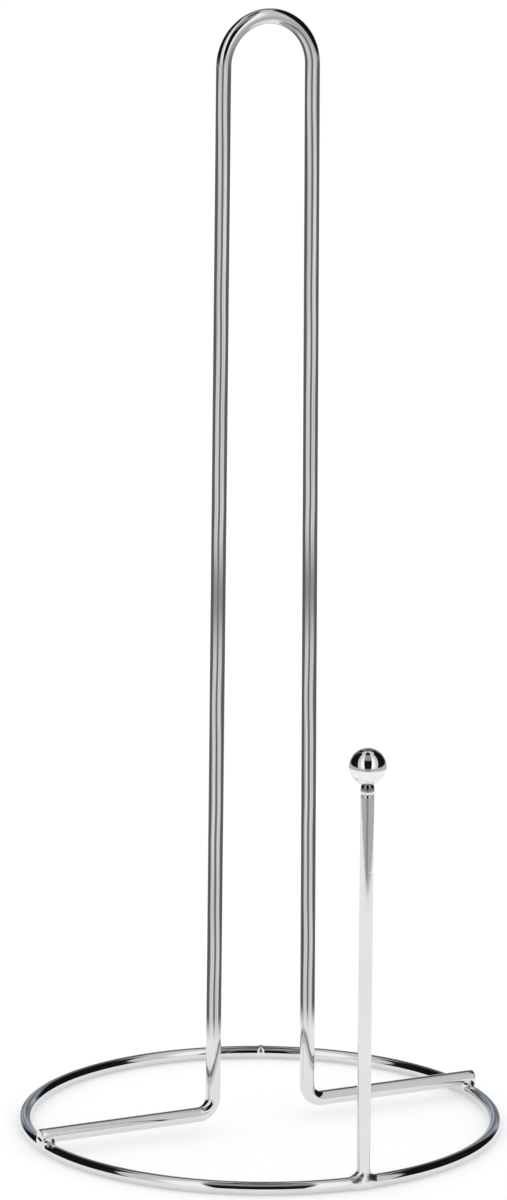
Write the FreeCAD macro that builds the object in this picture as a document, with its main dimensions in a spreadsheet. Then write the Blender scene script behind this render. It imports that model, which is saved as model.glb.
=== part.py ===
import FreeCAD, Part
import math
import os
import Sketcher

# A paper towel holder of chromed steel wire, modelled at its real size in millimetres.
# Origin: centre of the base ring, on the table. +Z is up.
# The hairpin loop stands in the XZ plane, with its feet on the ring at +X and -X.
# The guide rod stands on the ring at the front, close to -Y.
# Every part is drawn at +X and turned about Z to its own bearing, counted from +X in degrees.

DIMENSIONS = (
    # base ring: round wire bent to a circle and closed by one butt weld
    ("ring_radius", 74.0, "centre of the ring to the middle of its wire"),
    ("ring_wire", 4.2, "diameter of the ring's wire"),
    ("joint_bearing", 63.0, "where the ring's ends meet"),
    ("joint_gap", 1.6, "space between the ring's ends, filled by the butt weld"),
    ("joint_proud", 0.22, "how far the butt weld stands proud of the wire's sides"),
    ("joint_round", 0.13, "rounding of the butt weld's rims"),
    # hairpin loop: one wire with two uprights and two feet
    ("overall_height", 351.4, "table to the top of the loop"),
    ("loop_wire", 4.65, "diameter of the loop's wire"),
    ("loop_width_top", 30.2, "distance between the uprights' centres under the half-round top"),
    ("loop_width_foot", 33.2, "distance between the uprights' centres at the foot bends"),
    ("foot_bend", 5.2, "radius of the foot bends, at the middle of the wire"),
    ("foot_set_down", 0.7, "how far each foot is sunk onto the ring when it is welded"),
    ("foot_overhang", 0.3, "how far each foot ends past the ring's outer edge"),
    ("foot_end_round", 0.45, "rounding of the feet's cut ends"),
    # welds that hold the feet
    ("foot_weld_reach", 0.9, "how far a foot weld stands past the ring's sides"),
    ("foot_weld_side", 1.25, "how far a foot weld stands past the foot's sides"),
    ("foot_weld_depth", 2.5, "how far a foot weld reaches up and down from the joint"),
    # guide rod and its ball
    ("rod_bearing", -91.8, "where the guide rod stands on the ring"),
    ("rod_wire", 4.2, "diameter of the guide rod"),
    ("rod_set_down", 0.8, "how far the rod is sunk onto the ring when it is welded"),
    ("ball_height", 131.6, "table to the centre of the ball"),
    ("ball_diameter", 11.3, "diameter of the ball"),
    ("ball_bore_depth", 5.2, "depth of the ball's blind bore, from the ball's lowest point"),
    ("ball_bore_clearance", 0.01, "radial gap between the rod and the ball's bore"),
    # flared weld at the foot of the guide rod
    ("rod_weld_rise", 2.7, "height of the rod weld's upper end above the ring"),
    ("rod_weld_neck_rise", 1.1, "height of the rod weld's neck above the ring"),
    ("rod_weld_throat", 0.15, "how far the rod weld stands past the rod's sides at its upper end"),
    ("rod_weld_neck", 0.65, "how far its neck stands past the rod's sides, along the ring"),
    ("rod_weld_shoulder", 2.05, "how far it stands past the wider wire, along the ring, at the ring's top"),
    ("rod_weld_flare", 4.9, "the same level with the ring's centre"),
    ("rod_weld_hem", 2.95, "the same at its lower end"),
    ("rod_weld_skin", 0.5, "thickness of the rod weld over the ring's sides"),
    ("rod_weld_clear", 0.5, "height of the rod weld's lower end above the table"),
)

doc = FreeCAD.newDocument("paper_towel_holder")
sheet = doc.addObject("Spreadsheet::Sheet", "Dimensions")
for row, (alias, size, meaning) in enumerate(DIMENSIONS, start=1):
    sheet.set(f"A{row}", alias)
    sheet.set(f"B{row}", str(size))
    sheet.setAlias(f"B{row}", alias)
    sheet.set(f"C{row}", meaning)
doc.recompute()

ALIASES = {alias for alias, size, meaning in DIMENSIONS}

# Places that more than one part shares. Every word and sign stands apart, as in_sheet needs.
RING_CENTRE = "ring_wire / 2"
JOINT_ANGLE = "( 2 * asin( joint_gap / 2 / ring_radius ) )"
FOOT_CENTRE = "( ring_wire + loop_wire / 2 - foot_set_down )"
FOOT_END = "( ring_radius + ring_wire / 2 + foot_overhang )"
FOOT_JOINT = "( ring_wire - foot_set_down / 2 )"
CROWN_CENTRE = "( overall_height - loop_wire / 2 - loop_width_top / 2 )"
ROD_FOOT = "( ring_wire - rod_set_down )"
ROD_END = "( ball_height - ball_diameter / 2 + ball_bore_depth )"

# Names for the points and axes that sketch constraints take
START = 1
END = 2
CENTRE = 3
ORIGIN = (-1, 1)
HORIZONTAL_AXIS = -1
VERTICAL_AXIS = -2
UP = FreeCAD.Vector(0, 0, 1)


def in_sheet(expression):
    """The expression with each dimension written as a cell of the sheet."""
    words = expression.split()
    return " ".join(f"Dimensions.{word}" if word in ALIASES else word for word in words)


def value(expression):
    """What an expression comes to in millimetres or degrees."""
    return float(sheet.evalExpression(in_sheet(expression)))


def bind(target, **expressions):
    """Ties properties to the sheet. A double underscore in a name stands for a dot."""
    for path, expression in expressions.items():
        target.setExpression(path.replace("__", "."), in_sheet(expression))


def dimension(sketch, kind, *where, size):
    """Adds one driving dimension to a sketch and ties it to the sheet."""
    index = sketch.addConstraint(Sketcher.Constraint(kind, *where, value(size)))
    sketch.setExpression(f"Constraints[{index}]", in_sheet(size))


def new_body(label, bearing):
    """A part's body, turned about the ring's axis to its bearing."""
    body = doc.addObject("PartDesign::Body", label)
    body.Label = label
    body.Placement = FreeCAD.Placement(FreeCAD.Vector(), FreeCAD.Rotation(UP, 0))
    bind(body, Placement__Rotation__Angle=bearing)
    return body


def new_sketch(body, name, role, offset=None):
    """A sketch on one of the body's own origin planes, moved along the plane's normal by offset."""
    sketch = body.newObject("Sketcher::SketchObject", name)
    plane = next(each for each in body.Origin.OriginFeatures if each.Role == role)
    sketch.AttachmentSupport = (plane, "")
    sketch.MapMode = "FlatFace"
    if offset:
        bind(sketch, AttachmentOffset__Base__z=offset)
    return sketch


def place_centre(sketch, across, up):
    """Dimensions the centre of a sketch's first curve. None puts it on the axis."""
    if across is None:
        sketch.addConstraint(Sketcher.Constraint("PointOnObject", 0, CENTRE, VERTICAL_AXIS))
    else:
        dimension(sketch, "DistanceX", *ORIGIN, 0, CENTRE, size=across)
    if up is None:
        sketch.addConstraint(Sketcher.Constraint("PointOnObject", 0, CENTRE, HORIZONTAL_AXIS))
    else:
        dimension(sketch, "DistanceY", *ORIGIN, 0, CENTRE, size=up)


def circle_sketch(body, name, role, across, up, diameter, offset=None):
    """A sketch of one circle."""
    sketch = new_sketch(body, name, role, offset)
    centre = FreeCAD.Vector(value(across or "0"), value(up or "0"), 0)
    sketch.addGeometry(Part.Circle(centre, UP, value(diameter) / 2), False)
    place_centre(sketch, across, up)
    dimension(sketch, "Diameter", 0, size=diameter)
    return sketch


def oval_sketch(body, name, height, along, across):
    """A level oval around the guide rod's axis: its half length along the ring and half width across."""
    sketch = new_sketch(body, name, "XY_Plane", offset=height)
    centre = FreeCAD.Vector(value("ring_radius"), 0, 0)
    tip = centre + FreeCAD.Vector(0, value(along), 0)
    side = centre + FreeCAD.Vector(-value(across), 0, 0)
    sketch.addGeometry(Part.Ellipse(tip, side, centre), False)
    sketch.exposeInternalGeometry(0)
    length_line, width_line = 1, 2
    sketch.addConstraint(Sketcher.Constraint("Vertical", length_line))
    place_centre(sketch, "ring_radius", None)
    dimension(sketch, "Distance", length_line, size=f"2 * ( {along} )")
    dimension(sketch, "Distance", width_line, size=f"2 * ( {across} )")
    return sketch


def revolve(body, sketch, angle):
    """Turns a sketch about the body's Z axis, half of the angle to each side of its plane."""
    turn = body.newObject("PartDesign::Revolution", f"{body.Label}_turn")
    turn.Profile = sketch
    turn.ReferenceAxis = (sketch, ["V_Axis"])
    turn.Midplane = True
    bind(turn, Angle=angle)
    return turn


def round_edges(body, feature, radius, wanted):
    """Rounds the closed edges of a feature whose middles pass a test."""
    doc.recompute()
    edges = [
        f"Edge{number}"
        for number, edge in enumerate(feature.Shape.Edges, start=1)
        if edge.isClosed() and wanted(edge.CenterOfMass)
    ]
    rounding = body.newObject("PartDesign::Fillet", f"{body.Label}_rounding")
    rounding.Base = (feature, edges)
    bind(rounding, Radius=radius)


def cut_ring_wire(body):
    """Cuts the ring's wire out of a body, so that the body meets the wire face to face."""
    wire = body.newObject("PartDesign::SubtractiveTorus", f"{body.Label}_ring_seat")
    bind(wire, Radius1="ring_radius", Radius2="ring_wire / 2", Placement__Base__z=RING_CENTRE)


def make_base_ring():
    """A torus with one narrow gap. The gap's middle is at the joint's bearing."""
    body = new_body("base_ring", "joint_bearing - 180")
    section = circle_sketch(body, "ring_section", "XZ_Plane", "ring_radius", RING_CENTRE, "ring_wire")
    revolve(body, section, f"360 deg - {JOINT_ANGLE}")
    return body


def make_ring_butt_weld():
    """Fills the ring's gap. It is proud at its top and sides, and level with the wire underneath."""
    body = new_body("ring_butt_weld", "joint_bearing")
    centre = f"{RING_CENTRE} + joint_proud"
    section = circle_sketch(
        body, "butt_section", "XZ_Plane", "ring_radius", centre, "ring_wire + 2 * joint_proud"
    )
    bead = revolve(body, section, JOINT_ANGLE)
    round_edges(body, bead, "min( joint_round ; joint_proud * 0.9 )", lambda middle: True)
    return body


def make_loop_path(body):
    """The middle line of the loop's wire: foot, bend, upright, half-round top, upright, bend, foot."""
    path = new_sketch(body, "loop_path", "XZ_Plane")
    top_x = value("loop_width_top / 2")
    foot_x = value("loop_width_foot / 2")
    end_x = value(FOOT_END)
    foot_z = value(FOOT_CENTRE)
    crown_z = value(CROWN_CENTRE)
    bend = value("foot_bend")

    def line(x1, z1, x2, z2):
        return Part.LineSegment(FreeCAD.Vector(x1, z1, 0), FreeCAD.Vector(x2, z2, 0))

    def arc(x, z, radius, first, last):
        circle = Part.Circle(FreeCAD.Vector(x, z, 0), UP, radius)
        return Part.ArcOfCircle(circle, math.radians(first), math.radians(last))

    right_foot, right_bend, right_leg, crown, left_leg, left_bend, left_foot = range(7)
    path.addGeometry(
        [
            line(end_x, foot_z, foot_x + bend, foot_z),
            arc(foot_x + bend, foot_z + bend, bend, 180, 270),
            line(foot_x, foot_z + bend, top_x, crown_z),
            arc(0, crown_z, top_x, 0, 180),
            line(-top_x, crown_z, -foot_x, foot_z + bend),
            arc(-foot_x - bend, foot_z + bend, bend, 270, 360),
            line(-foot_x - bend, foot_z, -end_x, foot_z),
        ],
        False,
    )
    # Each pair meets smoothly. An arc starts where its angle starts and runs anticlockwise.
    for first, first_end, second, second_end in (
        (right_foot, END, right_bend, END),
        (right_bend, START, right_leg, START),
        (right_leg, END, crown, START),
        (crown, END, left_leg, START),
        (left_leg, END, left_bend, END),
        (left_bend, START, left_foot, START),
    ):
        path.addConstraint(Sketcher.Constraint("Tangent", first, first_end, second, second_end))
    path.addConstraint(Sketcher.Constraint("Horizontal", right_foot))
    path.addConstraint(Sketcher.Constraint("Horizontal", left_foot))
    path.addConstraint(Sketcher.Constraint("PointOnObject", crown, CENTRE, VERTICAL_AXIS))
    path.addConstraint(Sketcher.Constraint("Symmetric", right_foot, START, left_foot, END, VERTICAL_AXIS))
    path.addConstraint(Sketcher.Constraint("Symmetric", right_leg, START, left_leg, END, VERTICAL_AXIS))
    dimension(path, "Radius", right_bend, size="foot_bend")
    dimension(path, "Radius", crown, size="loop_width_top / 2")
    dimension(path, "DistanceY", *ORIGIN, crown, CENTRE, size=CROWN_CENTRE)
    dimension(path, "DistanceX", *ORIGIN, right_leg, START, size="loop_width_foot / 2")
    dimension(path, "DistanceX", *ORIGIN, right_foot, START, size=FOOT_END)
    dimension(path, "DistanceY", *ORIGIN, right_foot, START, size=FOOT_CENTRE)
    return path


def make_center_loop():
    """One wire swept along the hairpin, its cut ends rounded and its feet seated on the ring."""
    body = new_body("center_loop", "0")
    path = make_loop_path(body)
    section = circle_sketch(body, "loop_section", "YZ_Plane", None, FOOT_CENTRE, "loop_wire", offset=FOOT_END)
    sweep = body.newObject("PartDesign::AdditivePipe", "loop_sweep")
    sweep.Profile = section
    sweep.Spine = (path, [f"Edge{number}" for number in range(1, path.GeometryCount + 1)])
    end_x = value(FOOT_END)
    round_edges(body, sweep, "foot_end_round", lambda middle: math.isclose(abs(middle.x), end_x))
    cut_ring_wire(body)
    return body


def make_foot_weld(label, bearing):
    """The metal squeezed out around the crossing of one foot and the ring."""
    body = new_body(label, bearing)
    bead = body.newObject("PartDesign::AdditiveEllipsoid", f"{label}_bead")
    bind(
        bead,
        Radius1="foot_weld_depth",
        Radius2="ring_wire / 2 + foot_weld_reach",
        Radius3="loop_wire / 2 + foot_weld_side",
        Placement__Base__x="ring_radius",
        Placement__Base__z=FOOT_JOINT,
    )
    cut_ring_wire(body)
    foot = body.newObject("PartDesign::SubtractiveCylinder", f"{label}_foot_seat")
    foot.Placement.Rotation = FreeCAD.Rotation(FreeCAD.Vector(0, 1, 0), 90)
    bind(foot, Radius="loop_wire / 2", Height=f"2 * {FOOT_END}", Placement__Base__z=FOOT_CENTRE)
    return body


def make_guide_rod():
    """A straight wire whose lower end is saddled over the ring."""
    body = new_body("guide_rod", "rod_bearing")
    section = circle_sketch(body, "rod_section", "XY_Plane", "ring_radius", None, "rod_wire", offset=ROD_FOOT)
    pad = body.newObject("PartDesign::Pad", "rod_pad")
    pad.Profile = section
    bind(pad, Length=f"{ROD_END} - {ROD_FOOT}")
    cut_ring_wire(body)
    return body


def make_rod_base_weld():
    """A flared fillet: a round collar on the rod that widens through ovals and wraps the ring's sides."""
    body = new_body("rod_base_weld", "rod_bearing")
    collar_height = "ring_wire + rod_weld_rise"
    collar_diameter = "rod_wire + 2 * rod_weld_throat"
    collar = circle_sketch(
        body, "weld_collar", "XY_Plane", "ring_radius", None, collar_diameter, offset=collar_height
    )
    # half the width of the wider wire, and of the ring where the weld's lower end crosses it
    wide = "max( rod_wire ; ring_wire ) / 2"
    low = "sqrt( rod_weld_clear * ( ring_wire - rod_weld_clear ) )"
    # each oval's height, its half length along the ring and its half width across it
    sections = (
        ("ring_wire + rod_weld_neck_rise", "rod_wire / 2 + rod_weld_neck", "rod_wire / 2 + rod_weld_throat"),
        ("ring_wire", f"{wide} + rod_weld_shoulder", f"{wide} + rod_weld_skin"),
        (RING_CENTRE, f"{wide} + rod_weld_flare", f"{wide} + rod_weld_skin"),
        ("rod_weld_clear", f"{wide} + rod_weld_hem", f"{low} + rod_weld_skin"),
    )
    flare = body.newObject("PartDesign::AdditiveLoft", "rod_weld_loft")
    flare.Profile = collar
    flare.Sections = [
        oval_sketch(body, f"weld_oval_{number}", height, along, across)
        for number, (height, along, across) in enumerate(sections, start=1)
    ]
    cut_ring_wire(body)
    rod = body.newObject("PartDesign::SubtractiveCylinder", "rod_seat")
    bind(
        rod,
        Radius="rod_wire / 2",
        Height=f"{ROD_END} - {ROD_FOOT}",
        Placement__Base__x="ring_radius",
        Placement__Base__z=ROD_FOOT,
    )
    return body


def make_ball_finial():
    """A ball with a blind bore that the rod's end fills."""
    body = new_body("ball_finial", "rod_bearing")
    ball = body.newObject("PartDesign::AdditiveSphere", "ball")
    bind(ball, Radius="ball_diameter / 2", Placement__Base__x="ring_radius", Placement__Base__z="ball_height")
    bore_diameter = "rod_wire + 2 * ball_bore_clearance"
    bore = circle_sketch(body, "bore_circle", "XY_Plane", "ring_radius", None, bore_diameter, offset=ROD_END)
    pocket = body.newObject("PartDesign::Pocket", "ball_bore")
    pocket.Profile = bore
    bind(pocket, Length="ball_bore_depth")
    return body


parts = [
    make_base_ring(),
    make_ring_butt_weld(),
    make_center_loop(),
    make_foot_weld("right_foot_weld", "0"),
    make_foot_weld("left_foot_weld", "180"),
    make_guide_rod(),
    make_rod_base_weld(),
    make_ball_finial(),
]
doc.recompute()

for thing in doc.Objects:
    if "Invalid" in thing.State or "Error" in thing.State:
        raise RuntimeError(f"{thing.Name} failed: {thing.State}")
for part in parts:
    if part.Shape.isNull() or not part.Shape.isValid() or len(part.Shape.Solids) != 1:
        raise RuntimeError(f"{part.Label} is not one valid solid")

os.makedirs("parts", exist_ok=True)
for part in parts:
    part.Shape.exportStep(f"parts/{part.Label}.step")
    print(f"{part.Label}: {part.Shape.Volume:.2f} mm3")
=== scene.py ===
import math

import bpy
import numpy as np
from mathutils import Matrix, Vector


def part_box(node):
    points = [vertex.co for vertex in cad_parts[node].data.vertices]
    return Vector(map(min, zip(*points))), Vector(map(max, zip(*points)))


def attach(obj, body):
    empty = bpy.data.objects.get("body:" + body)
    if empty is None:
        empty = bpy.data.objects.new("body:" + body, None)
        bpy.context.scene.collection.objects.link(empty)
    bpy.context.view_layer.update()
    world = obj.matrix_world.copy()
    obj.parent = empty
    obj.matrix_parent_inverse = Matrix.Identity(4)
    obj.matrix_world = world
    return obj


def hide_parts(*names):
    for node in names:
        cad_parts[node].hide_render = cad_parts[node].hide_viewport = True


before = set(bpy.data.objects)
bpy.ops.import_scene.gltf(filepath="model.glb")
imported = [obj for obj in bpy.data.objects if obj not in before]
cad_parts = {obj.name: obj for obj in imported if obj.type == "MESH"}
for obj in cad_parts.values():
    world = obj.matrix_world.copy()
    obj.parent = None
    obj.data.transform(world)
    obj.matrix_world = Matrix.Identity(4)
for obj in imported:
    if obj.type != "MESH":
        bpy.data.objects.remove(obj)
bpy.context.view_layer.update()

# Lengths are in metres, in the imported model's frame: +Z up, origin at the ring's centre on the
# table, the guide rod in front.
MM = 0.001

# ---------------------------------------------------------------- sizes read from the frame
ring_low, ring_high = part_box("base_ring")
loop_low, loop_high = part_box("center_loop")
rod_low, rod_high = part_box("guide_rod")
ball_low, ball_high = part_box("ball_finial")
butt_low, butt_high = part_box("ring_butt_weld")

RING_WIRE = ring_high.z - ring_low.z
RING_TUBE = RING_WIRE / 2
RING_RADIUS = 74.0 * MM
LOOP_WIRE = loop_high.y - loop_low.y
LOOP_TUBE = LOOP_WIRE / 2
LOOP_TOP = loop_high.z
FOOT_END = loop_high.x
ROD_X = (ball_low.x + ball_high.x) / 2
ROD_Y = (ball_low.y + ball_high.y) / 2
ROD_TUBE = RING_TUBE
BALL_RADIUS = (ball_high.x - ball_low.x) / 2
BALL_Z = ball_high.z - BALL_RADIUS

# Sizes of the hairpin that its box doesn't give
LOOP_WIDTH_TOP = 30.2 * MM
LOOP_WIDTH_FOOT = 33.2 * MM
FOOT_BEND = 5.2 * MM
FOOT_SET_DOWN = 0.7 * MM
FOOT_END_ROUND = 0.45 * MM
FOOT_Z = RING_WIRE + LOOP_TUBE - FOOT_SET_DOWN
JOINT_GAP = 1.6 * MM
JOINT_PROUD = 0.22 * MM
JOINT_BEARING = math.atan2(butt_low.y + butt_high.y, butt_low.x + butt_high.x)
ROD_BEARING = math.atan2(ROD_Y, ROD_X)

# The set is turned with the camera: across is to the camera's right, away is along its view.
CAMERA_DISTANCE = 1.700
CAMERA_HEIGHT = 0.5147
CAMERA_BEARING = math.radians(26.92)
CAMERA_HEADING = math.radians(26.81)
CAMERA_PITCH = math.radians(11.51)
CAMERA_ROLL = math.radians(0.43)
CAMERA_LENS = 168.3


def on_set(across, away, up):
    """A place on the set in the frame's own axes."""
    s, c = math.sin(CAMERA_BEARING), math.cos(CAMERA_BEARING)
    return (across * c + away * s, -across * s + away * c, up)


def make_camera():
    data = bpy.data.cameras.new("camera")
    data.lens = CAMERA_LENS
    data.sensor_width = 36.0
    data.clip_start, data.clip_end = 0.05, 100.0
    camera = bpy.data.objects.new("camera", data)
    bpy.context.scene.collection.objects.link(camera)
    turn = Matrix.Rotation(-CAMERA_HEADING, 4, "Z")
    tilt = Matrix.Rotation(math.pi / 2 - CAMERA_PITCH, 4, "X")
    roll = Matrix.Rotation(CAMERA_ROLL, 4, "Z")
    place = Matrix.Translation(on_set(0.0, -CAMERA_DISTANCE, CAMERA_HEIGHT))
    camera.matrix_world = place @ turn @ tilt @ roll
    bpy.context.scene.camera = camera


# ---------------------------------------------------------------- mesh code
X = np.array([1.0, 0.0, 0.0])
Y = np.array([0.0, 1.0, 0.0])
Z = np.array([0.0, 0.0, 1.0])
# edges sharper than this, as at a wire's flat cut end, aren't smoothed over
CUT_EDGE = math.radians(60)


def add_mesh(name, points, faces, uvs=None):
    """A smooth-shaded mesh object. uvs holds one pair for each point."""
    mesh = bpy.data.meshes.new(name)
    mesh.from_pydata([tuple(p) for p in points], [], [tuple(int(i) for i in f) for f in faces])
    if uvs is not None:
        layer = mesh.uv_layers.new(name="wire")
        corners = np.empty(len(mesh.loops), dtype=np.int64)
        mesh.loops.foreach_get("vertex_index", corners)
        layer.data.foreach_set("uv", np.asarray(uvs, dtype=np.float32)[corners].ravel())
    mesh.shade_smooth()
    piece = bpy.data.objects.new(name, mesh)
    bpy.context.scene.collection.objects.link(piece)
    return piece


def sweep(name, path, radii, binormal, around=48):
    """A round section swept along a flat path, with flat ends. binormal stands square to the path's
    plane. radii is one number, or one for each point of the path."""
    path = np.asarray(path, float)
    count = len(path)
    radii = np.broadcast_to(np.asarray(radii, float), count)
    ahead = np.vstack([path[1:], path[-1:]])
    behind = np.vstack([path[:1], path[:-1]])
    tangent = ahead - behind
    tangent = tangent / np.linalg.norm(tangent, axis=1, keepdims=True)
    side = np.cross(tangent, binormal)
    side /= np.linalg.norm(side, axis=1, keepdims=True)
    angle = np.arange(around) * 2 * math.pi / around
    rings = (
        path[:, None, :]
        + radii[:, None, None] * np.cos(angle)[None, :, None] * side[:, None, :]
        + radii[:, None, None] * np.sin(angle)[None, :, None] * binormal[None, None, :]
    )
    length = np.concatenate([[0.0], np.cumsum(np.linalg.norm(np.diff(path, axis=0), axis=1))])
    uvs = [(around_share, along) for along in length for around_share in angle / (2 * math.pi)]
    points = list(rings.reshape(-1, 3))
    faces = []
    for i in range(count - 1):
        here, there = i * around, (i + 1) * around
        for j in range(around):
            k = (j + 1) % around
            faces.append((here + j, there + j, there + k, here + k))
    for ring, turned in ((0, False), (count - 1, True)):
        points.append(path[ring])
        uvs.append((0.5, length[ring]))
        middle = len(points) - 1
        for j in range(around):
            k = (j + 1) % around
            face = (ring * around + j, ring * around + k, middle)
            faces.append(face[::-1] if turned else face)
    piece = add_mesh(name, points, faces, uvs)
    piece.data.set_sharp_from_angle(angle=CUT_EDGE)
    return piece


def rounded_ends(path, radius, rounding, steps=6):
    """The path with extra points near both ends, and radii that round the cut ends over."""
    path = np.asarray(path, float)
    angles = np.linspace(0, math.pi / 2, steps)
    first = path[1] - path[0]
    first /= np.linalg.norm(first)
    last = path[-2] - path[-1]
    last /= np.linalg.norm(last)
    # how far each section lies back from the end face, and how much narrower it is
    inset = rounding * (1 - np.cos(angles))
    head_radii = radius - rounding * (1 - np.sin(angles))
    head = path[0] + np.outer(inset, first)
    tail = (path[-1] + np.outer(inset, last))[::-1]
    body = path[1:-1]
    points = np.vstack([head, body, tail])
    radii = np.concatenate([head_radii, np.full(len(body), radius), head_radii[::-1]])
    return points, radii


def arc(centre, radius, first, last, step_degrees, across, up):
    """Points on an arc in the plane of the directions across and up."""
    steps = max(2, int(round(abs(last - first) / step_degrees)))
    angles = np.radians(np.linspace(first, last, steps + 1))
    return (
        np.asarray(centre, float)
        + radius * np.outer(np.cos(angles), across)
        + radius * np.outer(np.sin(angles), up)
    )


def make_ring():
    half_gap = math.degrees(JOINT_GAP / 2 / RING_RADIUS)
    start = math.degrees(JOINT_BEARING)
    path = arc((0, 0, RING_TUBE), RING_RADIUS, start + half_gap, start + 360 - half_gap, 0.75, X, Y)
    return sweep("ring_wire", path, RING_TUBE, Z)


def loop_half():
    """The hairpin's middle line on the +X side, from the cut end of the foot to the top."""
    top_r = LOOP_WIDTH_TOP / 2
    crown_z = LOOP_TOP - LOOP_TUBE - top_r
    # the upright leans by this angle, so that it is smooth with both the half-round and the bend
    bend_x = LOOP_WIDTH_FOOT / 2
    bend_z = FOOT_Z + FOOT_BEND
    lean = math.atan2(bend_x - top_r, crown_z - bend_z)
    bend_centre = (bend_x + FOOT_BEND * math.cos(lean), 0, bend_z)
    foot = np.array([[FOOT_END, 0, FOOT_Z], [FOOT_END - 2.5 * MM, 0, FOOT_Z]])
    steps = np.linspace(foot[1, 0], bend_centre[0], 24)[1:-1]
    run = np.array([[x, 0, FOOT_Z] for x in steps])
    bend = arc(bend_centre, FOOT_BEND, 270, 180 + math.degrees(lean), 3, X, Z)
    crown = arc((0, 0, crown_z), top_r, math.degrees(lean), 90, 2, X, Z)
    upright = bend[-1] + np.outer(np.linspace(0, 1, 80)[1:-1], crown[0] - bend[-1])
    return np.vstack([foot, run, bend, upright, crown])


def make_loop():
    half = loop_half()
    other = half[::-1][1:] * np.array([-1.0, 1.0, 1.0])
    points, radii = rounded_ends(np.vstack([half, other]), LOOP_TUBE, FOOT_END_ROUND)
    return sweep("loop_wire", points, radii, Y)


def ease(values, low, high):
    """0 below low and 1 above high, smooth between."""
    share = np.clip((values - low) / (high - low), 0, 1)
    return share**2 * (3 - 2 * share)


def make_rod():
    """The guide rod, with a shallow groove and a rounded shoulder where it enters the ball."""
    shoulder = BALL_Z - BALL_RADIUS + 0.05 * MM
    plain = np.linspace(rod_low.z, shoulder - 6 * MM, 40)
    heights = np.concatenate([plain, np.linspace(shoulder - 5.9 * MM, rod_high.z, 110)])
    above = (heights - shoulder) / MM
    groove = 0.11 * (ease(above, -3.9, -2.7) - ease(above, -2.7, -1.9))
    rounding = 0.40 * (1 - np.sqrt(1 - np.clip((above + 1.5) / 1.6, 0, 0.97) ** 2))
    path = np.array([[ROD_X, ROD_Y, height] for height in heights])
    return sweep("rod_wire", path, ROD_TUBE - (groove + rounding) * MM, Y, around=64)


def lathe(name, profile, around=96):
    """Turns a profile of (radius, height) pairs about the guide rod's axis."""
    points, uvs = [], []
    for radius, height in profile:
        for j in range(around):
            angle = j * 2 * math.pi / around
            x, y = ROD_X + radius * math.cos(angle), ROD_Y + radius * math.sin(angle)
            points.append((x, y, height))
            uvs.append((j / around, height))
    faces = []
    for i in range(len(profile) - 1):
        here, there = i * around, (i + 1) * around
        for j in range(around):
            k = (j + 1) % around
            faces.append((here + j, here + k, there + k, there + j))
    faces.append(tuple(range(around))[::-1])
    faces.append(tuple((len(profile) - 1) * around + j for j in range(around)))
    return add_mesh(name, points, faces, uvs)


def make_ball():
    lowest = math.degrees(math.asin(ROD_TUBE / BALL_RADIUS)) - 90
    profile = [(ROD_TUBE * 0.9, BALL_Z + BALL_RADIUS * math.sin(math.radians(lowest)))]
    for angle in np.radians(np.linspace(lowest, 89.0, 64)):
        profile.append((BALL_RADIUS * math.cos(angle), BALL_Z + BALL_RADIUS * math.sin(angle)))
    return lathe("ball_shell", profile)


# ---------------------------------------------------------------- weld beads as smooth blends
# a bead lies this far inside the wires beyond its own edge, so that the wires show there
SINK = 0.02 * MM


def isosurface(name, field, low, high, pitch):
    """The zero surface of a field of signed distances, with every point moved onto it exactly."""
    low = np.asarray(low, float)
    counts = np.ceil((np.asarray(high, float) - low) / pitch).astype(int) + 1
    axes = [low[a] + pitch * np.arange(counts[a]) for a in range(3)]
    grid = np.stack(np.meshgrid(*axes, indexing="ij"), -1)
    values = field(grid)
    inside = values < 0
    cells = tuple(counts - 1)
    total = np.zeros(cells + (3,))
    hits = np.zeros(cells)
    crossings = []
    for a in range(3):
        b, c = (a + 1) % 3, (a + 2) % 3
        near = [slice(None)] * 3
        far = [slice(None)] * 3
        near[a], far[a] = slice(0, -1), slice(1, None)
        changed = inside[tuple(near)] != inside[tuple(far)]
        where = np.argwhere(changed)
        for other in (b, c):
            where = where[(where[:, other] > 0) & (where[:, other] < cells[other])]
        v0 = values[tuple(where.T)]
        step = np.zeros(3, int)
        step[a] = 1
        v1 = values[tuple((where + step).T)]
        spot = grid[tuple(where.T)] + (v0 / (v0 - v1))[:, None] * pitch * step
        for db in (0, -1):
            for dc in (0, -1):
                cell = where.copy()
                cell[:, b] += db
                cell[:, c] += dc
                np.add.at(total, tuple(cell.T), spot)
                np.add.at(hits, tuple(cell.T), 1)
        crossings.append((where, b, c, v0 < 0))
    used = hits > 0
    number = np.full(cells, -1)
    number[used] = np.arange(int(used.sum()))
    points = total[used] / hits[used][:, None]
    faces = []
    for where, b, c, outward in crossings:
        corner = []
        for db, dc in ((0, 0), (-1, 0), (-1, -1), (0, -1)):
            cell = where.copy()
            cell[:, b] += db
            cell[:, c] += dc
            corner.append(number[tuple(cell.T)])
        quads = np.stack(corner, 1)
        quads[~outward] = quads[~outward][:, ::-1]
        faces.append(quads)
    tiny = pitch * 0.05
    for _ in range(3):
        rises = [field(points + tiny * axis) - field(points - tiny * axis) for axis in (X, Y, Z)]
        slope = np.stack(rises, 1) / (2 * tiny)
        push = field(points)[:, None] * slope / np.maximum((slope**2).sum(1, keepdims=True), 0.05)
        points = points - np.clip(push, -pitch, pitch)
    return add_mesh(name, points, np.vstack(faces))


def ring_distance(p):
    return np.hypot(np.hypot(p[..., 0], p[..., 1]) - RING_RADIUS, p[..., 2] - RING_TUBE) - RING_TUBE


def foot_distance(p):
    return np.hypot(p[..., 1], p[..., 2] - FOOT_Z) - LOOP_TUBE


def rod_distance(p):
    across = np.hypot(p[..., 0] - ROD_X, p[..., 1] - ROD_Y) - ROD_TUBE
    return np.maximum(across, RING_TUBE - p[..., 2])


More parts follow.
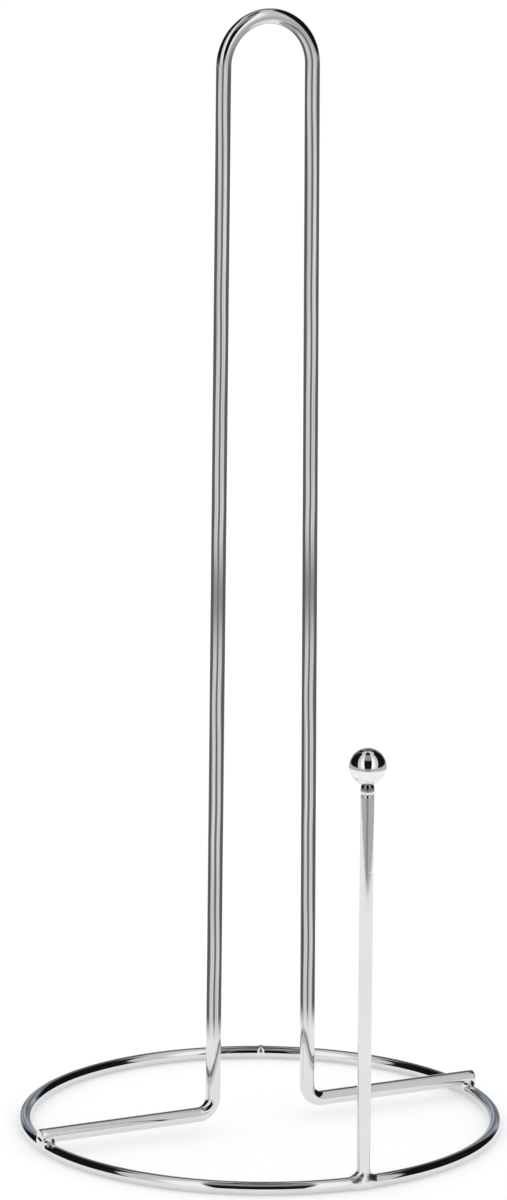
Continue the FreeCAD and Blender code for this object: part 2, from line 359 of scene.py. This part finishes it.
def bead_distance(p, centre, bearing, half):
    """About the distance to an egg-shaped bead. half is its half size across, along and up."""
    c, s = math.cos(bearing), math.sin(bearing)
    dx, dy, dz = p[..., 0] - centre[0], p[..., 1] - centre[1], p[..., 2] - centre[2]
    out = (dx * c + dy * s) / half[0]
    along = (dy * c - dx * s) / half[1]
    up = dz / half[2]
    size = np.sqrt(out**2 + along**2 + up**2)
    return (size - 1) * min(half)


def blend(a, b, reach):
    """A smooth union: a fillet that starts where the two distances differ by less than reach."""
    near = np.maximum(reach - np.abs(a - b), 0) / reach
    return np.minimum(a, b) - near**2 * reach / 4


def ripple(p, size, phase):
    """Gentle deterministic unevenness of a poured surface."""
    q = p / size
    x, y, z = q[..., 0], q[..., 1], q[..., 2]
    return (
        np.sin(2.1 * x + 1.3 * y + phase) * np.sin(1.7 * y - 2.3 * z + 2 * phase)
        + 0.6 * np.sin(3.7 * z + 1.9 * x - phase) * np.sin(3.1 * y + 2.2 * x + 3 * phase)
    )


def make_rod_weld():
    centre = (RING_RADIUS * math.cos(ROD_BEARING), RING_RADIUS * math.sin(ROD_BEARING), 2.6 * MM)
    # the bead is fuller on the side where the torch came from
    heart = (centre[0] - 0.7 * MM, centre[1], centre[2])

    def field(p):
        wires = blend(ring_distance(p), rod_distance(p), 2.7 * MM)
        bead = bead_distance(p, heart, ROD_BEARING, (2.45 * MM, 3.9 * MM, 2.3 * MM))
        bead = bead + 0.07 * MM * ripple(p, 1.4 * MM, 0.4)
        metal = blend(wires + SINK, bead, 0.8 * MM)
        limit = bead_distance(p, centre, ROD_BEARING, (6 * MM, 7.0 * MM, 6.5 * MM))
        return np.maximum(np.maximum(metal, limit), 0.05 * MM - p[..., 2])

    reach = 8.0 * MM
    low = (centre[0] - reach, centre[1] - reach, -0.5 * MM)
    high = (centre[0] + reach, centre[1] + reach, 10.5 * MM)
    return isosurface("rod_weld_bead", field, low, high, 0.16 * MM)


def make_foot_weld(name, side, phase):
    centre = (side * RING_RADIUS, 0.0, 3.7 * MM)

    def field(p):
        wires = blend(ring_distance(p), foot_distance(p), 1.5 * MM)
        bead = bead_distance(p, centre, 0.0, (2.7 * MM, 3.2 * MM, 1.9 * MM))
        bead = bead + 0.05 * MM * ripple(p, 1.5 * MM, phase)
        metal = blend(wires + SINK, bead, 0.7 * MM)
        limit = bead_distance(p, centre, 0.0, (2.9 * MM, 5.0 * MM, 3.4 * MM))
        return np.maximum(metal, limit)

    reach = 6.0 * MM
    low = (centre[0] - reach, -reach, -0.5 * MM)
    high = (centre[0] + reach, reach, 9.0 * MM)
    return isosurface(name, field, low, high, 0.15 * MM)


def make_butt_weld():
    """A narrow band round the ring's joint, crowned across its width and level underneath.
    It stands out more towards the ring's middle than away from it."""
    half = math.degrees(JOINT_GAP / 2 / RING_RADIUS)
    start = math.degrees(JOINT_BEARING)
    path = arc((0, 0, RING_TUBE), RING_RADIUS, start - half, start + half, 2 * half / 24, X, Y)
    share = np.linspace(-1, 1, len(path))
    crown = np.sqrt(np.clip(1 - share**2, 0, 1))
    radii = RING_TUBE - SINK + (0.8 * JOINT_PROUD + SINK) * crown
    path[:, :2] *= 1 - 0.2 * JOINT_PROUD / RING_RADIUS * crown[:, None]
    path[:, 2] = radii
    return sweep("butt_weld_band", path, radii, Z)


# ---------------------------------------------------------------- materials
def new_material(name):
    material = bpy.data.materials.new(name)
    material.use_nodes = True
    return material, material.node_tree.nodes, material.node_tree.links


def make_chrome(name, colour, roughness, uneven, painted_joint_shade=0.0):
    """Bright chrome plate: a mirror with faint polishing haze, slight waviness and a few fine pits.
    The last argument paints shade into the base colour close to where the guide rod enters the
    ball."""
    material, nodes, links = new_material(name)
    shader = nodes["Principled BSDF"]
    shader.inputs["Metallic"].default_value = 1.0
    place = nodes.new("ShaderNodeTexCoord")

    def noise(scale, detail):
        texture = nodes.new("ShaderNodeTexNoise")
        texture.inputs["Scale"].default_value = scale
        texture.inputs["Detail"].default_value = detail
        links.new(place.outputs["Object"], texture.inputs["Vector"])
        return texture.outputs["Fac"]

    def spread(value, low, high):
        node = nodes.new("ShaderNodeMapRange")
        node.inputs["From Min"].default_value = 0.3
        node.inputs["From Max"].default_value = 0.7
        node.inputs["To Min"].default_value = low
        node.inputs["To Max"].default_value = high
        links.new(value, node.inputs["Value"])
        return node.outputs["Result"]

    haze = noise(90.0, 4.0)
    links.new(spread(haze, roughness * 0.6, roughness * 1.5), shader.inputs["Roughness"])

    tint = nodes.new("ShaderNodeMix")
    tint.data_type = "RGBA"
    tint.inputs[6].default_value = (*[c * 0.94 for c in colour], 1.0)
    tint.inputs[7].default_value = (*colour, 1.0)
    links.new(spread(noise(35.0, 3.0), 0.0, 1.0), tint.inputs["Factor"])
    # painted shade: the plate's colour darkens towards near black close to where the guide rod
    # enters the ball
    away = nodes.new("ShaderNodeVectorMath")
    away.operation = "DISTANCE"
    links.new(place.outputs["Object"], away.inputs[0])
    away.inputs[1].default_value = (ROD_X, ROD_Y, BALL_Z - BALL_RADIUS + 0.9 * MM)
    shade = nodes.new("ShaderNodeMapRange")
    shade.interpolation_type = "SMOOTHSTEP"
    shade.inputs["From Min"].default_value = 2.6 * MM
    shade.inputs["From Max"].default_value = 3.7 * MM
    shade.inputs["To Min"].default_value = painted_joint_shade
    shade.inputs["To Max"].default_value = 0.0
    links.new(away.outputs["Value"], shade.inputs["Value"])
    joint = nodes.new("ShaderNodeMix")
    joint.data_type = "RGBA"
    links.new(shade.outputs["Result"], joint.inputs["Factor"])
    links.new(tint.outputs[2], joint.inputs[6])
    joint.inputs[7].default_value = (0.13, 0.13, 0.135, 1.0)
    links.new(joint.outputs[2], shader.inputs["Base Color"])

    # pits are the middles of scattered cells
    cells = nodes.new("ShaderNodeTexVoronoi")
    cells.inputs["Scale"].default_value = 110.0
    links.new(place.outputs["Object"], cells.inputs["Vector"])
    pits = nodes.new("ShaderNodeMapRange")
    pits.inputs["From Min"].default_value = 0.0
    pits.inputs["From Max"].default_value = 0.05
    pits.inputs["To Min"].default_value = -6.0
    pits.inputs["To Max"].default_value = 0.0
    links.new(cells.outputs["Distance"], pits.inputs["Value"])
    height = nodes.new("ShaderNodeMath")
    height.operation = "ADD"
    links.new(noise(420.0, 2.0), height.inputs[0])
    links.new(pits.outputs["Result"], height.inputs[1])

    bump = nodes.new("ShaderNodeBump")
    bump.inputs["Strength"].default_value = 1.0
    bump.inputs["Distance"].default_value = uneven
    links.new(height.outputs["Value"], bump.inputs["Height"])
    links.new(bump.outputs["Normal"], shader.inputs["Normal"])
    return material


def dress(piece, material, slot, *nodes):
    """Gives a piece its material, lets it ride, and makes it stand for its CAD nodes."""
    piece.data.materials.clear()
    piece.data.materials.append(material)
    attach(piece, "root")
    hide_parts(*nodes)


# ---------------------------------------------------------------- floor and light
FAR_FLOOR = 30.0
NEAR_FLOOR = 0.44
SLEEVE_RADIUS = 14.0 * MM
BLACK = (0.006, 0.006, 0.007)


def rectangle(wide, deep, height):
    """The corners of a level rectangle about the origin, from its half sizes."""
    return [(x * wide, y * deep, height) for x, y in ((-1, -1), (1, -1), (1, 1), (-1, 1))]


def make_floor():
    """A wide pale floor for the camera, and the part of it near the object that chrome reflects."""
    material, nodes, _ = new_material("floor_white")
    shader = nodes["Principled BSDF"]
    shader.inputs["Base Color"].default_value = (0.60, 0.60, 0.60, 1.0)
    shader.inputs["Roughness"].default_value = 0.9
    shader.inputs["Specular IOR Level"].default_value = 0.1
    shader.inputs["Emission Color"].default_value = (1.0, 1.0, 1.0, 1.0)
    shader.inputs["Emission Strength"].default_value = 0.38
    far = add_mesh("floor_far", rectangle(FAR_FLOOR, FAR_FLOOR, -0.2 * MM), [(0, 1, 2, 3)])
    far.visible_glossy = False
    turns = np.linspace(0, 2 * math.pi, 97)[:-1]
    rim = [on_set(NEAR_FLOOR * math.sin(a), NEAR_FLOOR * math.cos(a), 0.0) for a in turns]
    near = add_mesh("floor_near", rim[::-1], [tuple(range(len(rim)))])
    for floor in (far, near):
        floor.data.materials.append(material)


class Wiring:
    """Short names for the nodes that the studio is wired from."""

    def __init__(self, tree):
        self.nodes, self.links = tree.nodes, tree.links

    def maths(self, kind, *values):
        node = self.nodes.new("ShaderNodeMath")
        node.operation = kind
        for socket, value in zip(node.inputs, values):
            if isinstance(value, (int, float)):
                socket.default_value = value
            else:
                self.links.new(value, socket)
        return node.outputs["Value"]

    def step(self, value, low, high):
        """0 below low and 1 above high, smooth between."""
        node = self.nodes.new("ShaderNodeMapRange")
        node.interpolation_type = "SMOOTHSTEP"
        node.inputs["From Min"].default_value = low
        node.inputs["From Max"].default_value = high
        self.links.new(value, node.inputs["Value"])
        return node.outputs["Result"]

    def between(self, value, low, high, soft):
        rise = self.step(value, low - soft / 2, low + soft / 2)
        fall = self.step(value, high - soft / 2, high + soft / 2)
        return self.maths("MULTIPLY", rise, self.maths("SUBTRACT", 1.0, fall))

    def over(self, share, below, above):
        """The colour above laid over the one below by share. Colours are sockets or (r, g, b)."""
        node = self.nodes.new("ShaderNodeMix")
        node.data_type = "RGBA"
        self.links.new(share, node.inputs["Factor"])
        for socket, colour in ((node.inputs[6], below), (node.inputs[7], above)):
            if isinstance(colour, tuple):
                socket.default_value = (*colour, 1.0)
            else:
                self.links.new(colour, socket)
        return node.outputs[2]

    def turned(self, source):
        """A vector's components across, away and up on the set."""
        turn = self.nodes.new("ShaderNodeMapping")
        turn.inputs["Rotation"].default_value = (0.0, 0.0, CAMERA_BEARING)
        self.links.new(source, turn.inputs["Vector"])
        split = self.nodes.new("ShaderNodeSeparateXYZ")
        self.links.new(turn.outputs["Vector"], split.inputs["Vector"])
        return split.outputs["X"], split.outputs["Y"], split.outputs["Z"]

    def one_sided(self, colour, clear, output):
        """A card that glows on its front and is clear from behind, and wherever clear is 1."""
        glow = self.nodes.new("ShaderNodeEmission")
        self.links.new(colour, glow.inputs["Color"])
        glass = self.nodes.new("ShaderNodeBsdfTransparent")
        choose = self.nodes.new("ShaderNodeMixShader")
        facing = self.nodes.new("ShaderNodeNewGeometry")
        hidden = self.maths("MAXIMUM", facing.outputs["Backfacing"], clear)
        self.links.new(hidden, choose.inputs["Fac"])
        self.links.new(glow.outputs["Emission"], choose.inputs[1])
        self.links.new(glass.outputs["BSDF"], choose.inputs[2])
        self.links.new(choose.outputs["Shader"], output.inputs["Surface"])

    def dot(self, parts, along):
        terms = [self.maths("MULTIPLY", part, share) for part, share in zip(parts, along)]
        return self.maths("ADD", self.maths("ADD", terms[0], terms[1]), terms[2])


def make_world():
    """The studio that chrome reflects: two tall softboxes that lean in overhead, black flags
    between and beside them, a grey wall behind. All else is lit by an even white dome."""
    world = bpy.data.worlds.new("studio")
    bpy.context.scene.world = world
    world.use_nodes = True
    tree = world.node_tree
    tree.nodes.clear()
    w = Wiring(tree)
    output = tree.nodes.new("ShaderNodeOutputWorld")
    place = tree.nodes.new("ShaderNodeTexCoord")
    across, away, up = w.turned(place.outputs["Generated"])
    side = w.maths("ABSOLUTE", across)
    here = (side, away, up)

    # planes through the object along the softboxes' inner and outer edges
    past_inner = w.dot(here, (0.921, 0.335, -0.192))
    past_outer = w.dot(here, (0.432, 0.813, -0.389))
    front = w.maths("SUBTRACT", 1.0, w.step(past_outer, -0.04, 0.03))
    # overhead they reach a little behind the object
    past_side = w.dot(here, (1.0, 0.0, -0.48))
    past_back = w.dot(here, (0.0, 1.0, -0.62))
    overhead = w.maths(
        "MULTIPLY",
        w.maths("SUBTRACT", 1.0, w.step(past_side, -0.05, 0.03)),
        w.maths("SUBTRACT", 1.0, w.step(past_back, -0.05, 0.05)),
    )
    reach = w.maths("MAXIMUM", front, w.maths("MULTIPLY", overhead, w.step(up, 0.3, 0.5)))
    softbox = w.maths("MULTIPLY", w.step(past_inner, -0.02, 0.03), reach)
    gap = w.over(w.step(up, 0.70, 0.82), BLACK, (0.32, 0.32, 0.32))
    middle = w.maths("SUBTRACT", 1.0, w.step(side, 0.18, 0.32))
    behind = w.maths("MULTIPLY", w.step(away, 0.30, 0.50), middle)
    flags = w.over(w.step(past_inner, 0.0, 0.05), gap, BLACK)
    flags = w.over(behind, flags, (0.13, 0.13, 0.14))
    cloth = w.over(w.step(past_outer, -0.44, -0.24), (1.14, 1.14, 1.14), (0.70, 0.70, 0.70))
    lit = w.over(softbox, flags, cloth)
    # a small black flag hangs almost straight above
    overhead_flag = w.dot((across, away, up), (0.0, 0.12, 0.993))
    lit = w.over(w.step(overhead_flag, 0.975, 0.99), lit, BLACK)
    # the wall behind hangs in soft folds
    folds = tree.nodes.new("ShaderNodeTexNoise")
    folds.inputs["Scale"].default_value = 3.0
    folds.inputs["Detail"].default_value = 2.0
    tree.links.new(place.outputs["Generated"], folds.inputs["Vector"])
    wall = w.over(w.step(folds.outputs["Fac"], 0.38, 0.62), (0.15, 0.17, 0.20), (0.52, 0.55, 0.60))
    low = w.maths("SUBTRACT", 1.0, w.step(up, 0.38, 0.55))
    lit = w.over(w.maths("MULTIPLY", w.step(away, 0.78, 0.90), low), lit, wall)
    # beyond the pale floor the studio's own floor is grey
    low_grey = w.over(w.step(past_inner, -0.28, 0.22), (0.27, 0.27, 0.27), (0.52, 0.52, 0.52))
    lit = w.over(w.step(w.maths("MULTIPLY", up, -1.0), -0.02, 0.07), lit, low_grey)

    reflected = tree.nodes.new("ShaderNodeBackground")
    tree.links.new(lit, reflected.inputs["Color"])
    soft = tree.nodes.new("ShaderNodeBackground")
    soft.inputs["Color"].default_value = (1.0, 1.0, 1.0, 1.0)
    soft.inputs["Strength"].default_value = 1.08
    rays = tree.nodes.new("ShaderNodeLightPath")
    choose = tree.nodes.new("ShaderNodeMixShader")
    tree.links.new(rays.outputs["Is Glossy Ray"], choose.inputs["Fac"])
    tree.links.new(soft.outputs["Background"], choose.inputs[1])
    tree.links.new(reflected.outputs["Background"], choose.inputs[2])
    tree.links.new(choose.outputs["Shader"], output.inputs["Surface"])
    bpy.context.scene.view_settings.view_transform = "Standard"


def sleeve_material():
    """Tall light strips and black flags that stand round an upright, seen only from inside."""
    material, nodes, links = new_material("sleeve_card")
    nodes.remove(nodes["Principled BSDF"])
    w = Wiring(material.node_tree)
    place = nodes.new("ShaderNodeTexCoord")
    across, away, up = w.turned(place.outputs["Object"])
    # 0 towards the camera and 180 degrees behind
    bearing = w.maths("ARCTAN2", across, w.maths("MULTIPLY", away, -1.0))
    # the stripes wander a little as they climb
    wander = nodes.new("ShaderNodeTexNoise")
    wander.inputs["Scale"].default_value = 26.0
    wander.inputs["Detail"].default_value = 1.0
    climb = nodes.new("ShaderNodeCombineXYZ")
    links.new(up, climb.inputs["Z"])
    links.new(climb.outputs["Vector"], wander.inputs["Vector"])
    sway = w.maths("MULTIPLY", w.maths("SUBTRACT", wander.outputs["Fac"], 0.5), 0.9)
    bearing = w.maths("ADD", bearing, sway)
    turn = w.maths("MULTIPLY", w.maths("ABSOLUTE", bearing), 180 / math.pi)

    # streaks that run up the strip
    streak = nodes.new("ShaderNodeTexNoise")
    streak.inputs["Scale"].default_value = 1.0
    streak.inputs["Detail"].default_value = 3.0
    spot = nodes.new("ShaderNodeCombineXYZ")
    links.new(w.maths("MULTIPLY", bearing, 4.0), spot.inputs["X"])
    links.new(w.maths("MULTIPLY", up, 16.0), spot.inputs["Y"])
    links.new(spot.outputs["Vector"], streak.inputs["Vector"])
    streaky = w.step(streak.outputs["Fac"], 0.32, 0.68)

    strip = w.over(streaky, (0.58, 0.58, 0.58), (0.96, 0.96, 0.96))
    haze = w.between(up, 0.158, 0.180, 0.022)
    strip = w.over(haze, strip, (0.36, 0.36, 0.36))
    gap = w.over(haze, (0.17, 0.17, 0.17), (0.24, 0.24, 0.24))
    lit = w.over(w.step(turn, 7.0, 20.0), gap, strip)
    lit = w.over(w.step(turn, 54.0, 78.0), lit, (0.13, 0.13, 0.135))
    lit = w.over(w.step(turn, 128.0, 146.0), lit, (0.45, 0.45, 0.46))
    # the stripes wear off towards both ends, and only show to what stands inside
    worn = w.maths("SUBTRACT", 1.0, w.between(up, 0.030, 0.336, 0.010))
    distance = nodes.new("ShaderNodeLightPath").outputs["Ray Length"]
    far = w.step(distance, 1.5 * SLEEVE_RADIUS, 1.6 * SLEEVE_RADIUS)
    w.one_sided(lit, w.maths("MAXIMUM", worn, far), nodes["Material Output"])
    return material


def hide_card(card):
    card.visible_camera = False
    card.visible_diffuse = False
    card.visible_shadow = False


def make_crown_card():
    """A grey card level between the uprights, that the half-round's underside looks down on. It
    shows at the distances from there only."""
    material, nodes, _ = new_material("crown_card")
    nodes.remove(nodes["Principled BSDF"])
    w = Wiring(material.node_tree)
    distance = nodes.new("ShaderNodeLightPath").outputs["Ray Length"]
    far = w.step(distance, 60.0 * MM, 64.0 * MM)
    near = w.maths("SUBTRACT", 1.0, w.step(distance, 16.3 * MM, 16.8 * MM))
    cloud = nodes.new("ShaderNodeTexNoise")
    cloud.inputs["Scale"].default_value = 40.0
    tone = w.over(w.step(cloud.outputs["Fac"], 0.35, 0.65), (0.36, 0.36, 0.35), (0.52, 0.52, 0.50))
    w.one_sided(tone, w.maths("MAXIMUM", far, near), nodes["Material Output"])
    height = LOOP_TOP - 36.0 * MM
    wide, deep = LOOP_WIDTH_TOP / 2 - LOOP_TUBE - 1.0 * MM, 45.0 * MM
    card = add_mesh("crown_card", rectangle(wide, deep, height), [(0, 1, 2, 3)])
    card.data.materials.append(material)
    hide_card(card)


def make_sleeve(name, side, material):
    """A round stand of cards that leans with one upright and shows in its reflection only."""
    low, high = 21.0 * MM, LOOP_TOP - 8.0 * MM
    around, points, faces = 64, [], []
    for height in (low, high):
        share = (height - FOOT_Z - FOOT_BEND) / (high - FOOT_Z - FOOT_BEND)
        middle = side * (LOOP_WIDTH_FOOT / 2 + (LOOP_WIDTH_TOP - LOOP_WIDTH_FOOT) / 2 * share)
        for j in range(around):
            angle = j * 2 * math.pi / around
            x, y = middle + SLEEVE_RADIUS * math.cos(angle), SLEEVE_RADIUS * math.sin(angle)
            points.append((x, y, height))
    for j in range(around):
        k = (j + 1) % around
        faces.append((j, around + j, around + k, k))
    middle = side * (LOOP_WIDTH_FOOT + LOOP_WIDTH_TOP) / 4
    sleeve = add_mesh(name, [(x - middle, y, z) for x, y, z in points], faces)
    sleeve.location.x = middle
    sleeve.data.materials.append(material)
    hide_card(sleeve)


make_camera()
make_floor()
make_world()
sleeve_cards = sleeve_material()
make_sleeve("right_sleeve", 1, sleeve_cards)
make_sleeve("left_sleeve", -1, sleeve_cards)
make_crown_card()

# the wire chrome carries painted shade where the guide rod enters the ball
wire_chrome = make_chrome("chrome_wire", (0.77, 0.775, 0.785), 0.05, 0.0000035, painted_joint_shade=0.8)
ball_chrome = make_chrome("chrome_ball", (0.84, 0.85, 0.87), 0.05, 0.000002)
weld_chrome = make_chrome("chrome_weld", (0.80, 0.805, 0.815), 0.19, 0.000006)

dress(make_ring(), wire_chrome, "chrome_wire", "base_ring")
dress(make_loop(), wire_chrome, "chrome_wire", "center_loop")
dress(make_rod(), wire_chrome, "chrome_wire", "guide_rod")
dress(make_ball(), ball_chrome, "chrome_ball", "ball_finial")
dress(make_rod_weld(), weld_chrome, "chrome_weld", "rod_base_weld")
dress(make_foot_weld("right_foot_bead", 1, 0.9), weld_chrome, "chrome_weld", "right_foot_weld")
dress(make_foot_weld("left_foot_bead", -1, 2.3), weld_chrome, "chrome_weld", "left_foot_weld")
dress(make_butt_weld(), weld_chrome, "chrome_weld", "ring_butt_weld")
